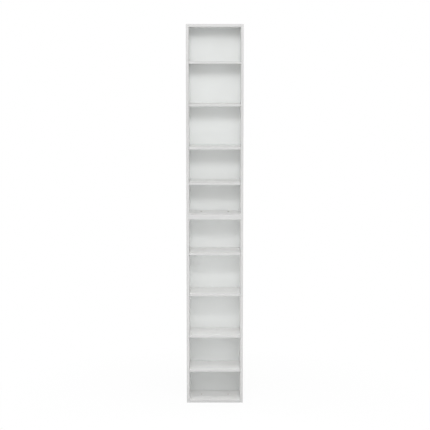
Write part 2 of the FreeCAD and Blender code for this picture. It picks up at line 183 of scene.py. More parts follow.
def add_node(tree, kind, values=None, **settings):
    """A new node with its settings, and its inputs linked to sockets or set to values."""
    node = tree.nodes.new(kind)
    for key, value in settings.items():
        setattr(node, key, value)
    for name, value in (values or {}).items():
        if isinstance(value, bpy.types.NodeSocket):
            tree.links.new(value, node.inputs[name])
        else:
            node.inputs[name].default_value = value
    return node


def empty_tree(owner):
    """The node tree of a new material or world, without the nodes it starts with."""
    owner.use_nodes = True
    owner.node_tree.nodes.clear()
    return owner.node_tree


def feed(tree, inputs, sources):
    """Link sources to the inputs of these names."""
    for name, source in sources.items():
        tree.links.new(source, inputs[name])


def opaque(colour):
    """Three numbers of a colour as the four of a colour socket."""
    return (colour[0], colour[1], colour[2], 1.0)


def calculate(tree, operation, first, second=0.5, third=0.5):
    """The output of a Math node."""
    return add_node(
        tree, "ShaderNodeMath", {0: first, 1: second, 2: third}, operation=operation
    ).outputs[0]


def mix_colours(tree, factor, first, second, blend="MIX"):
    """The output of a colour Mix node."""
    node = add_node(
        tree, "ShaderNodeMix", {0: factor, 6: first, 7: second}, data_type="RGBA", blend_type=blend
    )
    return node.outputs[2]


def tinted(tree, colour, tint):
    """A colour multiplied by three numbers."""
    return mix_colours(tree, 1.0, colour, opaque(tint), "MULTIPLY")


def remap(tree, value, low, high, new_low=0.0, new_high=1.0):
    """The output of a clamped Map Range node."""
    values = {"Value": value, "From Min": low, "From Max": high, "To Min": new_low, "To Max": new_high}
    return add_node(tree, "ShaderNodeMapRange", values).outputs["Result"]


def noise(tree, place, scale, detail, roughness):
    """The value of a Noise Texture."""
    values = {"Vector": place, "Scale": scale, "Detail": detail, "Roughness": roughness}
    return add_node(tree, "ShaderNodeTexNoise", values).outputs["Fac"]


def stretched(tree, place, scale):
    """Coordinates multiplied axis by axis."""
    return add_node(tree, "ShaderNodeMapping", {"Vector": place, "Scale": scale}).outputs["Vector"]


def split(tree, vector, axis):
    """One part of a vector."""
    return add_node(tree, "ShaderNodeSeparateXYZ", {"Vector": vector}).outputs[axis]


def place_group(tree, name, fill, inputs, outputs):
    """Outputs of a node group placed in a material. The group is built at its first use.

    Each input comes with its kind and its value in this material, each output with its kind.
    """
    group = bpy.data.node_groups.get(name)
    if group is None:
        group = bpy.data.node_groups.new(name, "ShaderNodeTree")
        for label, (kind, _) in inputs.items():
            group.interface.new_socket(label, in_out="INPUT", socket_type="NodeSocket" + kind)
        for label, kind in outputs.items():
            group.interface.new_socket(label, in_out="OUTPUT", socket_type="NodeSocket" + kind)
        given = group.nodes.new("NodeGroupInput")
        made = group.nodes.new("NodeGroupOutput")
        fill(group, given.outputs, made.inputs)
    values = {label: value for label, (_, value) in inputs.items()}
    return add_node(tree, "ShaderNodeGroup", values, node_tree=group).outputs


def fill_pearl(tree, given, made):
    """Fine pearl surface of melamine and edge band: small bumps, soft clouds in gloss and tone."""
    place = given["Place"]
    pitch = calculate(tree, "DIVIDE", 1.0, given["Pearl Size"])
    grains = noise(tree, place, pitch, 2.0, 0.55)
    cells = add_node(
        tree, "ShaderNodeTexVoronoi", {"Vector": place, "Scale": pitch}, feature="SMOOTH_F1"
    ).outputs["Distance"]
    clouds = noise(tree, place, 5.5, 4.0, 0.6)
    tone = calculate(tree, "MULTIPLY", remap(tree, clouds, 0.3, 0.7), given["Clouding"])
    darker = tinted(tree, given["Colour"], (0.93, 0.925, 0.91))
    colour = mix_colours(tree, tone, given["Colour"], darker)
    height = calculate(tree, "MULTIPLY_ADD", cells, 0.7, grains)
    feed(tree, made, {"Colour": colour, "Gloss Clouds": clouds, "Height": height})


def pearl_surface(tree, place, size, colour, clouding):
    """The pearl surface in a material, with its own grain size, colour and depth of clouds."""
    inputs = {
        "Place": ("Vector", place),
        "Pearl Size": ("Float", size),
        "Colour": ("Color", opaque(colour)),
        "Clouding": ("Float", clouding),
    }
    outputs = {"Colour": "Color", "Gloss Clouds": "Float", "Height": "Float"}
    return place_group(tree, "Pearl surface", fill_pearl, inputs, outputs)


def fill_chipboard(tree, given, made):
    """Raw edge of chipboard: flat chips of several tones with dark gaps between them."""
    place = given["Place"]
    pitch = calculate(tree, "DIVIDE", 1.0, given["Chip Size"])
    wobble = add_node(
        tree, "ShaderNodeTexNoise", {"Vector": place, "Scale": pitch, "Detail": 3.0}
    ).outputs["Color"]
    reach = (1.6 * MM, 1.6 * MM, 1.6 * MM)
    moved = add_node(
        tree, "ShaderNodeVectorMath", {0: wobble, 1: reach, 2: place}, operation="MULTIPLY_ADD"
    ).outputs[0]
    cells = {"Vector": moved, "Scale": pitch}
    chips = add_node(tree, "ShaderNodeTexVoronoi", cells).outputs["Color"]
    tone = add_node(tree, "ShaderNodeSeparateColor", {"Color": chips}).outputs[0]
    gaps = add_node(tree, "ShaderNodeTexVoronoi", cells, feature="DISTANCE_TO_EDGE").outputs["Distance"]
    shut = remap(tree, gaps, 0.0, 0.09)
    fibres = noise(tree, place, calculate(tree, "MULTIPLY", pitch, 6.0), 3.0, 0.6)
    lightness = calculate(tree, "MULTIPLY_ADD", fibres, 0.5, calculate(tree, "MULTIPLY", tone, 0.7))
    colour = mix_colours(tree, remap(tree, lightness, 0.1, 0.95), given["Dark"], given["Light"])
    shaded = tinted(tree, colour, (0.4, 0.36, 0.32))
    height = calculate(tree, "MULTIPLY_ADD", tone, 0.4, shut)
    feed(tree, made, {"Colour": mix_colours(tree, shut, shaded, colour), "Height": height})


def chipboard_core(tree, place, size, finishes):
    """The chipboard core in a material, with its own chip size."""
    inputs = {
        "Place": ("Vector", place),
        "Chip Size": ("Float", size),
        "Light": ("Color", opaque(finishes.chip_light)),
        "Dark": ("Color", opaque(finishes.chip_dark)),
    }
    outputs = {"Colour": "Color", "Height": "Float"}
    return place_group(tree, "Chipboard core", fill_chipboard, inputs, outputs)


def fill_hardboard(tree, given, made):
    """Rear of hardboard: felted fibres, and the imprint of the screen that it was pressed on."""
    place = given["Place"]
    axes = add_node(tree, "ShaderNodeSeparateXYZ", {"Vector": place}).outputs
    turn = calculate(tree, "DIVIDE", 2 * math.pi, given["Screen Pitch"])
    across = calculate(tree, "SINE", calculate(tree, "MULTIPLY", axes["X"], turn))
    upright = calculate(tree, "SINE", calculate(tree, "MULTIPLY", axes["Z"], turn))
    weave = calculate(tree, "MULTIPLY", across, upright)
    fibres = noise(tree, stretched(tree, place, (420.0, 420.0, 1500.0)), 1.0, 5.0, 0.65)
    flocks = noise(tree, place, 130.0, 4.0, 0.6)
    patches = noise(tree, place, 7.0, 5.0, 0.55)
    clouds = calculate(tree, "MULTIPLY_ADD", patches, 0.35, calculate(tree, "MULTIPLY", flocks, 0.35))
    felt = calculate(tree, "MULTIPLY_ADD", fibres, 0.9, clouds)
    lightness = calculate(tree, "MULTIPLY_ADD", weave, 0.1, felt)
    light = tinted(tree, given["Colour"], (1.7, 1.75, 1.8))
    dark = tinted(tree, given["Colour"], (0.6, 0.56, 0.52))
    colour = mix_colours(tree, remap(tree, lightness, 0.4, 1.2), dark, light)
    height = calculate(tree, "MULTIPLY_ADD", weave, 0.6, fibres)
    feed(tree, made, {"Colour": colour, "Height": height})


def hardboard_rear(tree, place, pitch, colour):
    """The hardboard rear in a material, with its own screen pitch and colour."""
    inputs = {
        "Place": ("Vector", place),
        "Screen Pitch": ("Float", pitch),
        "Colour": ("Color", opaque(colour)),
    }
    outputs = {"Colour": "Color", "Height": "Float"}
    return place_group(tree, "Hardboard rear", fill_hardboard, inputs, outputs)


def fill_metal(tree, given, made):
    """Plated or cast metal: fine grain, hairline scuffs and soft patches in tone."""
    place = given["Place"]
    pitch = calculate(tree, "DIVIDE", 1.0, given["Grain Size"])
    grain = noise(tree, place, pitch, 3.0, 0.6)
    hairs = noise(tree, stretched(tree, place, (4200.0, 260.0, 900.0)), 1.0, 2.0, 0.7)
    scuffs = calculate(tree, "MULTIPLY", remap(tree, hairs, 0.6, 0.72), given["Scuffs"])
    patches = noise(tree, place, 160.0, 3.0, 0.5)
    dull = tinted(tree, given["Colour"], (0.72, 0.72, 0.71))
    colour = mix_colours(tree, remap(tree, patches, 0.3, 0.75), given["Colour"], dull)
    rough = calculate(tree, "MULTIPLY_ADD", patches, 0.3, calculate(tree, "MULTIPLY", scuffs, 0.25))
    height = calculate(tree, "SUBTRACT", grain, scuffs)
    feed(tree, made, {"Colour": colour, "Roughness Change": rough, "Height": height})


def metal_grain(tree, place, size, colour, scuffs):
    """The metal grain in a material, with its own grain size, colour and share of scuffs."""
    inputs = {
        "Place": ("Vector", place),
        "Grain Size": ("Float", size),
        "Colour": ("Color", opaque(colour)),
        "Scuffs": ("Float", scuffs),
    }
    outputs = {"Colour": "Color", "Roughness Change": "Float", "Height": "Float"}
    return place_group(tree, "Metal grain", fill_metal, inputs, outputs)


def new_finish(name):
    """A material with one Principled shader, and the coordinates its patterns follow."""
    material = bpy.data.materials.new(name)
    tree = empty_tree(material)
    shader = tree.nodes.new("ShaderNodeBsdfPrincipled")
    add_node(tree, "ShaderNodeOutputMaterial", {"Surface": shader.outputs["BSDF"]})
    place = tree.nodes.new("ShaderNodeTexCoord").outputs["Object"]
    return material, tree, shader, place


def dress(tree, shader, colour, roughness, height, depth):
    """Give a shader its colour, its roughness, and relief of a depth in metres."""
    bump = add_node(tree, "ShaderNodeBump", {"Height": height, "Distance": depth})
    relief = bump.outputs["Normal"]
    feed(tree, shader.inputs, {"Base Color": colour, "Roughness": roughness, "Normal": relief})


def facing(tree, axis):
    """How far a face looks along an axis, from -1 to 1."""
    normal = tree.nodes.new("ShaderNodeNewGeometry").outputs["Normal"]
    return split(tree, normal, axis)


def clouded_gloss(tree, pearl, glossy, dull):
    """Roughness that changes softly between two values with the clouds of a pearl surface."""
    return remap(tree, pearl["Gloss Clouds"], 0.25, 0.75, glossy, dull)


def melamine_board(name, finishes, wide_axis, top_end_covered, chip_stretch):
    """White melamine on a board's wide faces, raw chipboard on bare edges and in holes.

    An eased edge slopes, so it counts as bare.
    """
    material, tree, shader, place = new_finish(name)
    pearl = pearl_surface(tree, place, 0.7 * MM, finishes.board_white, 0.3)
    core = chipboard_core(tree, stretched(tree, place, chip_stretch), 3.4 * MM, finishes)
    along = calculate(tree, "ABSOLUTE", facing(tree, wide_axis))
    raw = calculate(tree, "LESS_THAN", along, 0.9)
    if top_end_covered:
        below = calculate(tree, "LESS_THAN", facing(tree, "Z"), 0.5)
        raw = calculate(tree, "MULTIPLY", raw, below)
    colour = mix_colours(tree, raw, pearl["Colour"], core["Colour"])
    gloss = clouded_gloss(tree, pearl, 0.38, 0.5)
    rough = calculate(tree, "MAXIMUM", gloss, calculate(tree, "MULTIPLY", raw, 0.85))
    fine = calculate(tree, "MULTIPLY", pearl["Height"], 0.07)
    coarse = calculate(tree, "MULTIPLY", calculate(tree, "MULTIPLY", core["Height"], raw), 0.6)
    dress(tree, shader, colour, rough, calculate(tree, "ADD", fine, coarse), 0.5 * MM)
    return material


def edge_band(name, finishes, glue_place):
    """White edge band, a little glossier than the boards, with a thin glue line at its rear; its colour
    is greyer than the boards, partly its own and partly painted shade of the front faces.
    """
    material, tree, shader, place = new_finish(name)
    # The band colour is darker than the board white: partly its own colour, partly painted shade of the
    # front faces.
    pearl = pearl_surface(tree, place, 0.5 * MM, finishes.band_white_with_painted_shade, 0.2)
    waver = noise(tree, place, 90.0, 3.0, 0.6)
    edge = calculate(tree, "MULTIPLY_ADD", waver, 0.12 * MM, split(tree, place, "Y"))
    line = remap(tree, edge, glue_place - 0.12 * MM, glue_place + 0.02 * MM, 0.0, 0.65)
    colour = mix_colours(tree, line, pearl["Colour"], opaque(finishes.glue_line))
    dress(tree, shader, colour, clouded_gloss(tree, pearl, 0.3, 0.42), pearl["Height"], 0.012 * MM)
    return material


def back_panel_finish(finishes):
    """White lacquer in front, and raw brown hardboard on the rear and the edges."""
    material, tree, shader, place = new_finish("Lacquered hardboard")
    pearl = pearl_surface(tree, place, 1.3 * MM, finishes.panel_white, 0.25)
    rear = hardboard_rear(tree, place, 1.6 * MM, finishes.panel_brown)
    raw = calculate(tree, "GREATER_THAN", facing(tree, "Y"), -0.5)
    colour = mix_colours(tree, raw, pearl["Colour"], rear["Colour"])
    gloss = clouded_gloss(tree, pearl, 0.42, 0.56)
    rough = calculate(tree, "MAXIMUM", gloss, calculate(tree, "MULTIPLY", raw, 0.8))
    fine = calculate(tree, "MULTIPLY", pearl["Height"], 0.12)
    coarse = calculate(tree, "MULTIPLY", rear["Height"], raw)
    dress(tree, shader, colour, rough, calculate(tree, "ADD", fine, coarse), 0.25 * MM)
    return material


def metal_finish(name, colour, grain_size, roughness, scuffs, depth):
    """A bare or plated metal."""
    material, tree, shader, place = new_finish(name)
    shader.inputs["Metallic"].default_value = 1.0
    grain = metal_grain(tree, place, grain_size, colour, scuffs)
    mean_change = 0.15
    rough = calculate(tree, "ADD", grain["Roughness Change"], roughness - mean_change)
    dress(tree, shader, grain["Colour"], rough, grain["Height"], depth)
    return material


def beech_finish(finishes):
    """Beech with its long fibres across the case and short dark flecks."""
    material, tree, shader, place = new_finish("Beech")
    fibres = noise(tree, stretched(tree, place, (60.0, 1500.0, 1500.0)), 1.0, 4.0, 0.6)
    rings = noise(tree, stretched(tree, place, (12.0, 330.0, 330.0)), 1.0, 2.0, 0.5)
    flecks = noise(tree, stretched(tree, place, (330.0, 2600.0, 2600.0)), 1.0, 1.0, 0.5)
    light = opaque(finishes.beech)
    dark = opaque([part * 0.55 for part in finishes.beech])
    tone = calculate(tree, "MULTIPLY_ADD", rings, 0.7, calculate(tree, "MULTIPLY", fibres, 0.5))
    colour = mix_colours(tree, remap(tree, tone, 0.35, 0.85), light, dark)
    marked = mix_colours(tree, remap(tree, flecks, 0.66, 0.74, 0.0, 0.6), colour, dark)
    dress(tree, shader, marked, remap(tree, fibres, 0.2, 0.8, 0.5, 0.75), fibres, 0.12 * MM)
    return material


def glide_finish(finishes):
    """Moulded plastic, rubbed dull and grey where it slides on the floor."""
    material, tree, shader, place = new_finish("Glide plastic")
    pearl = pearl_surface(tree, place, 0.35 * MM, finishes.glide_white, 0.5)
    scratches = noise(tree, stretched(tree, place, (300.0, 2600.0, 300.0)), 1.0, 3.0, 0.6)
    low = remap(tree, split(tree, place, "Z"), 0.0, 0.3 * MM, 0.9, 0.0)
    rubbed = calculate(tree, "MULTIPLY", low, remap(tree, scratches, 0.35, 0.65))
    colour = mix_colours(tree, rubbed, pearl["Colour"], opaque((0.3, 0.29, 0.27)))
    rough = remap(tree, rubbed, 0.0, 1.0, 0.34, 0.7)
    dress(tree, shader, colour, rough, calculate(tree, "SUBTRACT", pearl["Height"], rubbed), 0.03 * MM)
    return material


def finish_nodes(names, material):
    """Give the CAD nodes of these names a material."""
    for name in names:
        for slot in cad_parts[name].material_slots:
            slot.material = material


# Modelling


def enter_edit():
    """Start to edit the mesh of the active piece."""
    bpy.ops.object.mode_set(mode="EDIT")


def leave_edit():
    """Stop editing a mesh."""
    bpy.ops.object.mode_set(mode="OBJECT")


def begin():
    """Leave edit mode and deselect everything."""
    if bpy.context.mode != "OBJECT":
        leave_edit()
    bpy.ops.object.select_all(action="DESELECT")


def take(piece):
    """Make a piece the only one that operators act on."""
    begin()
    piece.select_set(True)
    bpy.context.view_layer.objects.active = piece


def edit_all(piece):
    """Start to edit the mesh of a piece, with all of it selected."""
    take(piece)
    enter_edit()
    bpy.ops.mesh.select_all(action="SELECT")


def settle():
    """Move the place, turn and scale of the selected piece into its mesh."""
    bpy.ops.object.transform_apply(location=True, rotation=True, scale=True)


def move(piece, place, turn=UNTURNED):
    """Put a piece in its place, turned, and keep that in its mesh."""
    take(piece)
    piece.location = place
    piece.rotation_euler = turn
    settle()


def named(name):
    """The piece that an operator just added, with its name and its place in its mesh."""
    piece = bpy.context.object
    piece.name = name
    settle()
    return piece


def select(piece, kind, wanted):
    """In edit mode, select the points, edges or faces that the test wants and nothing else."""
    bpy.ops.mesh.select_mode(type=kind)
    bpy.ops.mesh.select_all(action="DESELECT")
    shape = bmesh.from_edit_mesh(piece.data)
    for part in {"VERT": shape.verts, "EDGE": shape.edges, "FACE": shape.faces}[kind]:
        part.select_set(bool(wanted(part)))
    bmesh.update_edit_mesh(piece.data)


def add_modifier(piece, kind, **settings):
    """Add a modifier with its settings and apply it."""
    take(piece)
    bpy.ops.object.modifier_add(type=kind)
    modifier = piece.modifiers[-1]
    for key, value in settings.items():
        setattr(modifier, key, value)
    bpy.ops.object.modifier_apply(modifier=modifier.name)


def soften(piece, width, segments):
    """Round the sharp edges of a piece."""
    sharp = math.radians(SHARP_ANGLE)
    add_modifier(
        piece, "BEVEL", width=width, segments=segments, limit_method="ANGLE", angle_limit=sharp
    )


def put_away(piece):
    """Remove a tool shape, or the pattern that copies were made from."""
    bpy.data.objects.remove(piece)


def combine(piece, tool, operation):
    """Unite a tool shape with a piece, or cut it out of the piece, and put the tool away."""
    add_modifier(piece, "BOOLEAN", operation=operation, object=tool, solver="EXACT")
    put_away(tool)


def steps(radius, level, *changes):
    """Steps of a round profile, in millimetres outwards from a radius and upwards from a level."""
    return tuple((radius + out * MM, level + up * MM) for out, up in changes)


def turned(name, profile, sides):
    """A round piece on the Z axis, drawn out of a cone through steps of radius and height."""
    begin()
    (radius, low), (next_radius, height) = profile[:2]
    bpy.ops.mesh.primitive_cone_add(
        vertices=sides,
        radius1=radius,
        radius2=next_radius,
        depth=height - low,
        location=(0.0, 0.0, (height + low) / 2),
    )
    piece = named(name)
    enter_edit()
    top = height
    select(piece, "FACE", lambda face: all(abs(point.co.z - top) < SAME_PLACE for point in face.verts))
    radius = next_radius
    for next_radius, next_height in profile[2:]:
        bpy.ops.mesh.extrude_region_move(
            TRANSFORM_OT_translate={"value": (0.0, 0.0, next_height - height)}
        )
        ratio = next_radius / radius
        bpy.ops.transform.resize(
            value=(ratio, ratio, 1.0), center_override=(0.0, 0.0, next_height)
        )
        radius, height = next_radius, next_height
    leave_edit()
    return piece


def bar(name, low, high):
    """A plain bar between two corners, to be shaped further."""
    begin()
    middle = [(start + stop) / 2 for start, stop in zip(low, high)]
    bpy.ops.mesh.primitive_cube_add(size=1.0, location=middle)
    bpy.context.object.scale = [stop - start for start, stop in zip(low, high)]
    return named(name)


def cut_off(piece, place, outwards):
    """Cut away what lies beyond a plane and close the cut."""
    edit_all(piece)
    bpy.ops.mesh.bisect(
        plane_co=place, plane_no=outwards, use_fill=True, clear_outer=True, threshold=1e-7
    )
    leave_edit()


def turn_outwards(piece):
    """Close doubled points and point all faces outwards."""
    edit_all(piece)
    bpy.ops.mesh.remove_doubles(threshold=SAME_PLACE)
    bpy.ops.mesh.normals_make_consistent(inside=False)
    leave_edit()


def threaded_rod(name, radius, depth, pitch, low, high):
    """A screw thread on the Z axis between two heights."""
    begin()
    root = radius - depth
    inner = root - pitch / 2
    bpy.ops.mesh.primitive_plane_add(
        size=pitch, location=(inner, 0.0, 0.0), rotation=(QUARTER_TURN, 0.0, 0.0)
    )
    piece = named(name)
    enter_edit()
    select(piece, "EDGE", lambda edge: all(point.co.x < inner for point in edge.verts))
    bpy.ops.mesh.delete(type="VERT")
    bpy.ops.mesh.select_all(action="SELECT")
    bpy.ops.mesh.subdivide(number_cuts=1)
    select(piece, "VERT", lambda vertex: abs(vertex.co.z) < pitch / 8)
    bpy.ops.transform.translate(value=(depth, 0.0, 0.0))
    bpy.ops.mesh.select_all(action="SELECT")
    bpy.ops.transform.translate(value=(0.0, 0.0, low - 1.5 * pitch))
    leave_edit()
    spare_turns = 3
    turn_steps = 24
    add_modifier(
        piece,
        "SCREW",
        screw_offset=pitch,
        iterations=math.ceil((high - low) / pitch) + spare_turns,
        steps=turn_steps,
        render_steps=turn_steps,
        use_merge_vertices=True,
        merge_threshold=SAME_PLACE,
    )
    edit_all(piece)
    bpy.ops.mesh.remove_doubles(threshold=SAME_PLACE)
    leave_edit()
    cut_off(piece, (0.0, 0.0, high), (0.0, 0.0, 1.0))
    cut_off(piece, (0.0, 0.0, low), (0.0, 0.0, -1.0))
    turn_outwards(piece)
    return piece


def smooth(piece, angle=SHARP_ANGLE):
    """Shade the round faces smooth and keep the sharp edges."""
    take(piece)
    bpy.ops.object.shade_smooth_by_angle(angle=math.radians(angle))


def place_copy(pattern, name, place, turn, node, material):
    """A copy of a modelled fitting in its place, standing for its CAD node."""
    take(pattern)
    bpy.ops.object.duplicate(linked=False)
    piece = bpy.context.object
    piece.name = name
    move(piece, place, turn)
    piece.data.name = name
    piece.data.materials.clear()
    piece.data.materials.append(material)
    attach(piece, "case")
    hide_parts(node)


def model_shelf_pin(sizes):
    """A spade pin: collar against x = 0, plug towards +X, top of the tongue level with z = 0."""
    thick = sizes.tongue_thickness
    neck = sizes.collar_thickness
    half = sizes.tongue_width / 2
    tongue = bar("tongue", (-sizes.tongue_length, -half, -thick), (-neck / 2, half, 0.0))

    def is_tip_corner(edge):
        first, second = edge.verts
        return abs(first.co.z - second.co.z) > thick / 2 and first.co.x < -sizes.tongue_length / 2

    enter_edit()
    select(tongue, "EDGE", is_tip_corner)
    bpy.ops.mesh.bevel(offset=3 * MM, segments=8, affect="EDGES")
    leave_edit()
    soften(tongue, 0.3 * MM, 3)
    rim = sizes.collar_diameter / 2
    collar = turned("collar", steps(rim, 0.0, (-0.2, 0.0), (0.0, 0.2)) + ((rim, neck),), 40)
    plug = sizes.plug_diameter / 2
    tip = neck + sizes.plug_length
    tip_steps = steps(plug, tip, (0.0, -1.0), (-0.25, -0.5), (-0.8, 0.0))
    shank = turned("plug", ((plug, neck / 2),) + tip_steps, 40)
    for piece in (collar, shank):
        move(piece, (-neck, 0.0, -thick / 2), (0.0, QUARTER_TURN, 0.0))
    cut_off(collar, (0.0, 0.0, 0.0), (0.0, 0.0, 1.0))
    combine(collar, shank, "UNION")
    combine(tongue, collar, "UNION")
    smooth(tongue)
    return tongue


def slot_sector(name, radius, low, high, inset):
    """The part of a cam lock that its slot goes round, between two heights.

    It ends an angle, the inset, before the ends of the slot.
    """
    sector = turned(name, ((radius, low), (radius, high)), 64)
    middle = (0.0, 0.0, low)
    start = CAM_SLOT_START + inset
    stop = CAM_SLOT_STOP - inset
    cut_off(sector, middle, (math.sin(start), -math.cos(start), 0.0))
    cut_off(sector, middle, (-math.sin(stop), math.cos(stop), 0.0))
    return sector


def model_cam_lock(sizes):
    """A cam lock on +Z, its keyed face at z = 0 and its bolt slot towards +X.

    Eccentric jaws above and below the slot close in on the head of the bolt.
    """
    radius = sizes.cam_diameter / 2
    height = sizes.cam_height
    bolt = height - 4.5 * MM
    beyond = 1.0 * MM
    outside = steps(radius, 0.0, (-0.55, 0.0), (-0.2, 0.12), (0.0, 0.5))
    cup = steps(radius, height, (0.0, 0.0), (-1.7, 0.0)) + steps(radius, bolt, (-1.7, -4.0))
    lock = turned("cam lock", outside + cup, 64)
    long = sizes.cam_key_length / 2
    wide = sizes.cam_key_width / 2
    key_depth = 1.8 * MM
    for reach, span in ((long, wide), (wide, long)):
        key = bar("key", (-reach, -span, -beyond), (reach, span, key_depth))
        enter_edit()
        select(key, "FACE", lambda face: face.normal.z > 0.9)
        bpy.ops.transform.resize(value=(0.9, 0.9, 1.0), center_override=(0.0, 0.0, key_depth))
        leave_edit()
        soften(key, 0.2 * MM, 2)
        combine(lock, key, "DIFFERENCE")
    jaw_inset = math.radians(1.0)
    jaws = slot_sector("jaws", radius - 0.9 * MM, bolt - 4.6 * MM, height - 0.2 * MM, jaw_inset)
    inside = 3.94 * MM
    eccentric = turned("eccentric", ((inside, bolt - 6.0 * MM), (inside, height + beyond)), 96)
    throw, angle = 2.0 * MM, math.radians(5.0)
    move(eccentric, (-throw * math.cos(angle), throw * math.sin(angle), 0.0))
    combine(jaws, eccentric, "DIFFERENCE")
    combine(lock, jaws, "UNION")
    half_slot = 2.6 * MM
    slot = slot_sector("slot", radius + beyond, bolt - half_slot, bolt + half_slot, 0.0)
    combine(lock, slot, "DIFFERENCE")
    half_mouth = 3.8 * MM
    mouth = turned("mouth", ((half_mouth, 0.0), (half_mouth, radius + beyond)), 40)
    move(mouth, (0.0, 0.0, bolt), (0.0, QUARTER_TURN, CAM_SLOT_STOP))
    combine(lock, mouth, "DIFFERENCE")
    turn_outwards(lock)
    smooth(lock)
    return lock


def model_cam_bolt():
    """A cam bolt on +Z: thread below z = 0, then collar, shank, neck and rounded head."""
    collar = ((3.4, -0.4), (3.7, 0.0), (3.7, 1.6))
    shank = ((3.1, 2.2), (3.1, 25.5))
    neck = ((2.1, 26.3), (2.1, 31.9))
    head = ((3.5, 32.9), (3.5, 34.9), (3.2, 35.6), (2.3, 36.1))
    bolt = turned("cam bolt", steps(0.0, 0.0, *collar, *shank, *neck, *head), 40)
    cut_off(bolt, (0.0, 0.0, 0.0), (0.0, 0.0, -1.0))
    thread = threaded_rod("thread", 2.45 * MM, 0.6 * MM, 1.8 * MM, -11.0 * MM, 0.6 * MM)
    combine(bolt, thread, "UNION")
    smooth(bolt)
    return bolt


def model_dowel(sizes):
    """A fluted dowel on +Z, from its end in the side to its end in the deck."""
    sides = 48
    lower_end = ((-1.0, -12.0), (-0.3, -11.6), (0.0, -11.0))
    upper_end = ((0.0, 17.0), (-0.3, 17.6), (-1.0, 18.0))
    dowel = turned("dowel", steps(sizes.dowel_diameter / 2, 0.0, *lower_end, *upper_end), sides)

    def is_flute(face):
        middle = face.calc_center_median()
        place = math.atan2(middle.y, middle.x) / (2 * math.pi) * sides
        return abs(face.normal.z) < 0.1 and int(math.floor(place)) % 2 == 0

    enter_edit()
    select(dowel, "FACE", is_flute)
    bpy.ops.mesh.extrude_faces_move(
        MESH_OT_extrude_faces_indiv={}, TRANSFORM_OT_shrink_fatten={"value": -0.3 * MM}
    )
    leave_edit()
    flute_angle = 25.0
    smooth(dowel, flute_angle)
    return dowel


def flange_profile(sizes, upwards):
    """Radius and height steps of the flange that stacking screws and sleeves share."""
    radius = sizes.flange_diameter / 2
    rim = ((-1.1, 0.0), (-0.55, -0.15), (-0.15, -0.5), (0.0, -1.0))
    profile = steps(radius, sizes.flange_thickness, *rim) + ((radius, 0.0),)
    if upwards:
        return tuple(reversed(profile))
    return tuple((step, -height) for step, height in profile)


def model_stack_screw(sizes):
    """A stacking screw: its flange stands on z = 0 and its thread points down."""
    screw = turned("stack screw", flange_profile(sizes, True), 64)
    radius = sizes.screw_diameter / 2
    length = DECK_THICKNESS + 12 * MM
    thread = threaded_rod("thread", radius, 0.5 * MM, sizes.thread_pitch, -length, 0.6 * MM)
    combine(screw, thread, "UNION")
    corner = sizes.socket_width / 3**0.5
    hexagon = steps(corner, sizes.flange_thickness, (0.0, -3.0), (0.0, -0.25), (0.5, 0.25))
    combine(screw, turned("socket", hexagon, 6), "DIFFERENCE")
    smooth(screw)
    return screw


def model_stack_sleeve(sizes):
    """A sleeve nut: its flange hangs under z = 0 and its bored barrel points up."""
    barrel = 4.85 * MM
    bore = 3.0 * MM
    top = DECK_THICKNESS + 6 * MM
    outside = ((barrel, 0.0),) + steps(barrel, top, (0.0, -0.4), (-0.4, 0.0))
    inside = steps(bore, top, (0.3, 0.0), (0.0, -0.3)) + ((bore, 2.0 * MM),)
    sleeve = turned("stack sleeve", flange_profile(sizes, False) + outside + inside, 64)
    smooth(sleeve)
    return sleeve


def model_floor_glide(sizes):
    """A glide with a rounded rim, and its nail, on +Z from the floor."""
    foot = ((-1.7, 0.0), (-0.95, 0.12), (-0.4, 0.4), (-0.1, 0.8), (0.0, 1.2), (0.0, 1.8), (-0.2, 2.0))
    nail = ((1.05, 2.0), (1.05, 13.5), (0.2, 15.5))
    profile = steps(sizes.glide_diameter / 2, 0.0, *foot) + steps(0.0, 0.0, *nail)
    glide = turned("floor glide", profile, 48)
    smooth(glide)
    return glide


# Operators


class BOOKCASE_OT_uprights(bpy.types.Operator):
    """Finish the four side boards in white melamine with raw rear edges"""

    bl_idname = "bookcase.uprights"
    bl_label = "Side boards"

    def execute(self, context):
        finishes = context.scene.bookcase_finishes
        material = melamine_board("White melamine upright", finishes, "X", True, (2.2, 1.0, 0.8))
        finish_nodes(["%s_%s_side" % (module, side) for module in MODULES for _, side in SIDES], material)
        return {"FINISHED"}


class BOOKCASE_OT_levels(bpy.types.Operator):
    """Finish top boards, bottom boards and shelves in white melamine with raw ends and rear edges"""

    bl_idname = "bookcase.levels"
    bl_label = "Decks and shelves"

    def execute(self, context):
        finishes = context.scene.bookcase_finishes
        material = melamine_board("White melamine level", finishes, "Z", False, (0.8, 1.0, 2.2))
        finish_nodes(DECKS + SHELVES, material)
        return {"FINISHED"}


class BOOKCASE_OT_edge_bands(bpy.types.Operator):
    """Finish the bands on the front edges of the case and of the shelves"""

    bl_idname = "bookcase.edge_bands"
    bl_label = "Edge bands"

    def execute(self, context):
        finishes = context.scene.bookcase_finishes
        case = [module + bands for bands in ("_side_bands", "_board_bands") for module in MODULES]
        shelf = [name + "_band" for name in SHELVES]
        for name, nodes in (("Carcass edge band", case), ("Shelf edge band", shelf)):
            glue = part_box(nodes[0])[1].y
            finish_nodes(nodes, edge_band(name, finishes, glue))
        return {"FINISHED"}


class BOOKCASE_OT_back_panels(bpy.types.Operator):
    """Finish the back panels, white in front and brown behind"""

    bl_idname = "bookcase.back_panels"
    bl_label = "Back panels"

    def execute(self, context):
        material = back_panel_finish(context.scene.bookcase_finishes)
        finish_nodes([module + "_back_panel" for module in MODULES], material)
        return {"FINISHED"}


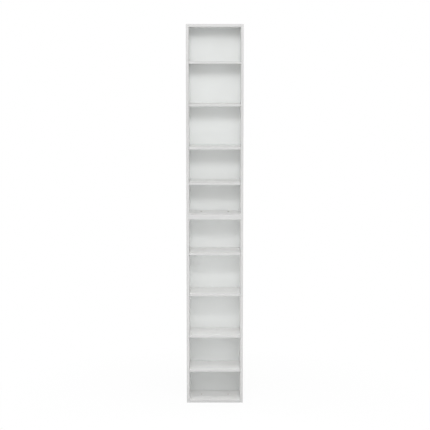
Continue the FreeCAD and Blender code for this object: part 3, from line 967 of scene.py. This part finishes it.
class BOOKCASE_OT_shelf_pins(bpy.types.Operator):
    """Model the spade pins, four under each shelf"""

    bl_idname = "bookcase.shelf_pins"
    bl_label = "Shelf pins"

    def execute(self, context):
        finishes = context.scene.bookcase_finishes
        material = metal_finish("Nickel plate", finishes.nickel, 0.25 * MM, 0.3, 0.6, 0.012 * MM)
        pattern = model_shelf_pin(context.scene.bookcase_fittings)
        for shelf, underside in zip(SHELVES, SHELF_UNDERSIDES):
            node = "%s_shelf_supports" % ("lower" if underside < SEAM else "upper")
            for hand, side in SIDES:
                turn = (0.0, 0.0, 0.0 if hand > 0 else math.pi)
                for row, end in PIN_ROWS:
                    name = "%s_pin_%s_%s" % (shelf, end, side)
                    place = (hand * INSIDE, row, underside)
                    place_copy(pattern, name, place, turn, node, material)
        put_away(pattern)
        return {"FINISHED"}


class BOOKCASE_OT_cam_locks(bpy.types.Operator):
    """Model the cam locks in the hidden faces of the decks"""

    bl_idname = "bookcase.cam_locks"
    bl_label = "Cam locks"

    def execute(self, context):
        colour = context.scene.bookcase_finishes.zinc_casting
        material = metal_finish("Zinc casting", colour, 0.4 * MM, 0.46, 0.25, 0.05 * MM)
        pattern = model_cam_lock(context.scene.bookcase_fittings)
        for module, (low, high) in zip(MODULES, MODULE_ENDS):
            node = module + "_cam_locks"
            decks = (("bottom", low + CAM_RECESS, 0.0), ("top", high - CAM_RECESS, math.pi))
            for hand, side in SIDES:
                x = hand * (INSIDE - CAM_REACH)
                facing_side = 0.0 if hand > 0 else math.pi
                for row, end in CAM_ROWS:
                    for deck, level, roll in decks:
                        name = "%s_cam_%s_%s_%s" % (module, deck, end, side)
                        turn = (roll, 0.0, facing_side)
                        place_copy(pattern, name, (x, row, level), turn, node, material)
        put_away(pattern)
        return {"FINISHED"}


def corner_copies(pattern, rows, word, node_word, material):
    """Copies of a corner fitting that reaches out of the sides into the decks."""
    for module, (low, high) in zip(MODULES, MODULE_ENDS):
        node = "%s_%s" % (module, node_word)
        levels = (("bottom", low + DECK_THICKNESS / 2), ("top", high - DECK_THICKNESS / 2))
        for deck, level in levels:
            for hand, side in SIDES:
                turn = (0.0, -hand * QUARTER_TURN, 0.0)
                for row, end in rows:
                    name = "%s_%s_%s_%s_%s" % (module, word, deck, end, side)
                    place_copy(pattern, name, (hand * INSIDE, row, level), turn, node, material)
    put_away(pattern)


class BOOKCASE_OT_cam_bolts(bpy.types.Operator):
    """Model the threaded cam bolts of the corner joints"""

    bl_idname = "bookcase.cam_bolts"
    bl_label = "Cam bolts"

    def execute(self, context):
        finishes = context.scene.bookcase_finishes
        material = metal_finish("Zinc plate", finishes.zinc_plate, 0.3 * MM, 0.34, 0.4, 0.015 * MM)
        corner_copies(model_cam_bolt(), CAM_ROWS, "bolt", "cam_bolts", material)
        return {"FINISHED"}


class BOOKCASE_OT_dowels(bpy.types.Operator):
    """Model the fluted dowels of the corner joints"""

    bl_idname = "bookcase.dowels"
    bl_label = "Dowels"

    def execute(self, context):
        material = beech_finish(context.scene.bookcase_finishes)
        pattern = model_dowel(context.scene.bookcase_fittings)
        corner_copies(pattern, DOWEL_ROWS, "dowel", "dowels", material)
        return {"FINISHED"}


class BOOKCASE_OT_stack_fittings(bpy.types.Operator):
    """Model the screws and sleeves that clamp the upper module to the lower one"""

    bl_idname = "bookcase.stack_fittings"
    bl_label = "Stacking screws and sleeves"

    def execute(self, context):
        finishes = context.scene.bookcase_finishes
        sizes = context.scene.bookcase_fittings
        material = metal_finish("Nickel screw", finishes.nickel, 0.25 * MM, 0.3, 0.5, 0.012 * MM)
        screw = model_stack_screw(sizes)
        sleeve = model_stack_sleeve(sizes)
        kinds = (
            (screw, "stack_screw_", "stack_screws", SEAM + DECK_THICKNESS),
            (sleeve, "stack_sleeve_", "stack_sleeves", SEAM - DECK_THICKNESS),
        )
        for x, y, side in STACK_PLACES:
            for pattern, word, node, level in kinds:
                place_copy(pattern, word + side, (x, y, level), UNTURNED, node, material)
        put_away(screw)
        put_away(sleeve)
        return {"FINISHED"}


class BOOKCASE_OT_floor_glides(bpy.types.Operator):
    """Model the nailed glides under the sides"""

    bl_idname = "bookcase.floor_glides"
    bl_label = "Floor glides"

    def execute(self, context):
        material = glide_finish(context.scene.bookcase_finishes)
        pattern = model_floor_glide(context.scene.bookcase_fittings)
        for number, (x, y) in enumerate(GLIDE_PLACES, 1):
            name = "floor_glide_%d" % number
            place_copy(pattern, name, (x, y, 0.0), UNTURNED, "floor_glides", material)
        put_away(pattern)
        return {"FINISHED"}


def shows_background(tree):
    """1 for rays that show the background: camera, glossy and transmission rays."""
    path = tree.nodes.new("ShaderNodeLightPath").outputs
    seen = calculate(tree, "MAXIMUM", path["Is Camera Ray"], path["Is Glossy Ray"])
    return calculate(tree, "MAXIMUM", seen, path["Is Transmission Ray"])


class BOOKCASE_OT_stage(bpy.types.Operator):
    """Set up the floor, the soft light, the white surroundings and the camera"""

    bl_idname = "bookcase.stage"
    bl_label = "Studio"

    def execute(self, context):
        stage = context.scene.bookcase_stage
        self.floor()
        self.surroundings(context, stage)
        self.lamps(stage)
        self.camera(context, stage)
        context.scene.view_settings.view_transform = "Standard"
        return {"FINISHED"}

    def floor(self):
        """A wide floor that looks white and keeps a little of the shadow near the case."""
        begin()
        bpy.ops.mesh.primitive_circle_add(vertices=96, radius=14.0, fill_type="NGON")
        floor = bpy.context.object
        floor.name = "studio_floor"
        material = bpy.data.materials.new("Studio floor")
        tree = empty_tree(material)
        matt = add_node(tree, "ShaderNodeBsdfDiffuse", {"Color": (0.9, 0.9, 0.9, 1.0)})
        white = add_node(tree, "ShaderNodeEmission", {"Color": (1.0, 1.0, 1.0, 1.0)})
        place = tree.nodes.new("ShaderNodeTexCoord").outputs["Object"]
        away = add_node(tree, "ShaderNodeVectorMath", {0: place}, operation="LENGTH").outputs["Value"]
        fade_start, fade_end = 0.2, 1.6
        white_at_case = 0.93
        share = remap(tree, away, fade_start, fade_end, white_at_case, 1.0)
        share = calculate(tree, "MULTIPLY", share, shows_background(tree))
        mixed = add_node(
            tree,
            "ShaderNodeMixShader",
            {0: share, 1: matt.outputs["BSDF"], 2: white.outputs["Emission"]},
        )
        add_node(tree, "ShaderNodeOutputMaterial", {"Surface": mixed.outputs["Shader"]})
        floor.data.materials.append(material)

    def surroundings(self, context, stage):
        """Even surroundings that look white and light the case with the room's strength."""
        world = bpy.data.worlds.new("Studio surroundings")
        tree = empty_tree(world)
        strength = remap(tree, shows_background(tree), 0.0, 1.0, stage.room_light, 1.0)
        light = add_node(
            tree, "ShaderNodeBackground", {"Color": (1.0, 1.0, 1.0, 1.0), "Strength": strength}
        )
        add_node(tree, "ShaderNodeOutputWorld", {"Surface": light.outputs["Background"]})
        context.scene.world = world

    def lamp(self, name, place, tilt, width, height, power, spread=math.pi):
        """A soft lamp that faces the floor, or the case when it is tilted up."""
        begin()
        bpy.ops.object.light_add(type="AREA", location=place, rotation=(tilt, 0.0, 0.0))
        lamp = bpy.context.object
        lamp.name = name
        lamp.visible_camera = False
        lamp.data.shape = "RECTANGLE"
        lamp.data.size = width
        lamp.data.size_y = height
        lamp.data.energy = power
        lamp.data.spread = spread

    def lamps(self, stage):
        """The four lamps, all in front of the case."""
        level = QUARTER_TURN
        self.lamp("studio_key_light", (0.0, -4.0, 3.6), level, 1.2, 0.6, stage.key_power)
        self.lamp("studio_far_light", (0.0, -6.3, 4.7), level, 1.2, 2.6, stage.far_power)
        self.lamp("studio_low_light", (0.0, -1.9, 1.2), level / 2, 1.2, 0.5, stage.low_power)
        self.lamp("studio_over_light", (0.0, -2.2, 3.2), 0.0, 3.0, 2.0, stage.over_power, 1.2)

    def camera(self, context, stage):
        """A long lens far in front of the case, a little lower than its top and tilted down."""
        begin()
        aside = 0.0014
        bpy.ops.object.camera_add(
            location=(aside, -stage.camera_distance, stage.camera_height),
            rotation=(QUARTER_TURN - stage.camera_tilt, 0.0, 0.0),
        )
        camera = bpy.context.object
        camera.name = "studio_camera"
        camera.data.lens = stage.camera_lens
        camera.data.sensor_width = 36.0
        camera.data.clip_end = 100.0
        context.scene.camera = camera


class BOOKCASE_PT_tools(bpy.types.Panel):
    """Sidebar panel that lists the operators of the bookcase"""

    bl_idname = "BOOKCASE_PT_tools"
    bl_label = "Bookcase"
    bl_space_type = "VIEW_3D"
    bl_region_type = "UI"
    bl_category = "Bookcase"

    def draw(self, context):
        for operator in OPERATORS:
            self.layout.operator(operator.bl_idname)
        for group in ("bookcase_finishes", "bookcase_fittings", "bookcase_stage"):
            settings = getattr(context.scene, group)
            column = self.layout.column()
            for name in settings.__annotations__:
                column.prop(settings, name)


OPERATORS = (
    BOOKCASE_OT_uprights,
    BOOKCASE_OT_levels,
    BOOKCASE_OT_edge_bands,
    BOOKCASE_OT_back_panels,
    BOOKCASE_OT_shelf_pins,
    BOOKCASE_OT_cam_locks,
    BOOKCASE_OT_cam_bolts,
    BOOKCASE_OT_dowels,
    BOOKCASE_OT_stack_fittings,
    BOOKCASE_OT_floor_glides,
    BOOKCASE_OT_stage,
)
CLASSES = (BookcaseFinishes, BookcaseFittings, BookcaseStage) + OPERATORS + (BOOKCASE_PT_tools,)


def register():
    """Register the classes and put their settings on the scene."""
    for cls in CLASSES:
        bpy.utils.register_class(cls)
    bpy.types.Scene.bookcase_finishes = PointerProperty(type=BookcaseFinishes)
    bpy.types.Scene.bookcase_fittings = PointerProperty(type=BookcaseFittings)
    bpy.types.Scene.bookcase_stage = PointerProperty(type=BookcaseStage)


def unregister():
    """Take the settings off the scene and unregister the classes."""
    del bpy.types.Scene.bookcase_stage
    del bpy.types.Scene.bookcase_fittings
    del bpy.types.Scene.bookcase_finishes
    for cls in reversed(CLASSES):
        bpy.utils.unregister_class(cls)


def main():
    """Build the bookcase and its studio."""
    register()
    bpy.ops.bookcase.uprights()
    bpy.ops.bookcase.levels()
    bpy.ops.bookcase.edge_bands()
    bpy.ops.bookcase.back_panels()
    bpy.ops.bookcase.shelf_pins()
    bpy.ops.bookcase.cam_locks()
    bpy.ops.bookcase.cam_bolts()
    bpy.ops.bookcase.dowels()
    bpy.ops.bookcase.stack_fittings()
    bpy.ops.bookcase.floor_glides()
    bpy.ops.bookcase.stage()
    bpy.context.view_layer.update()


if __name__ == "__main__":
    main()
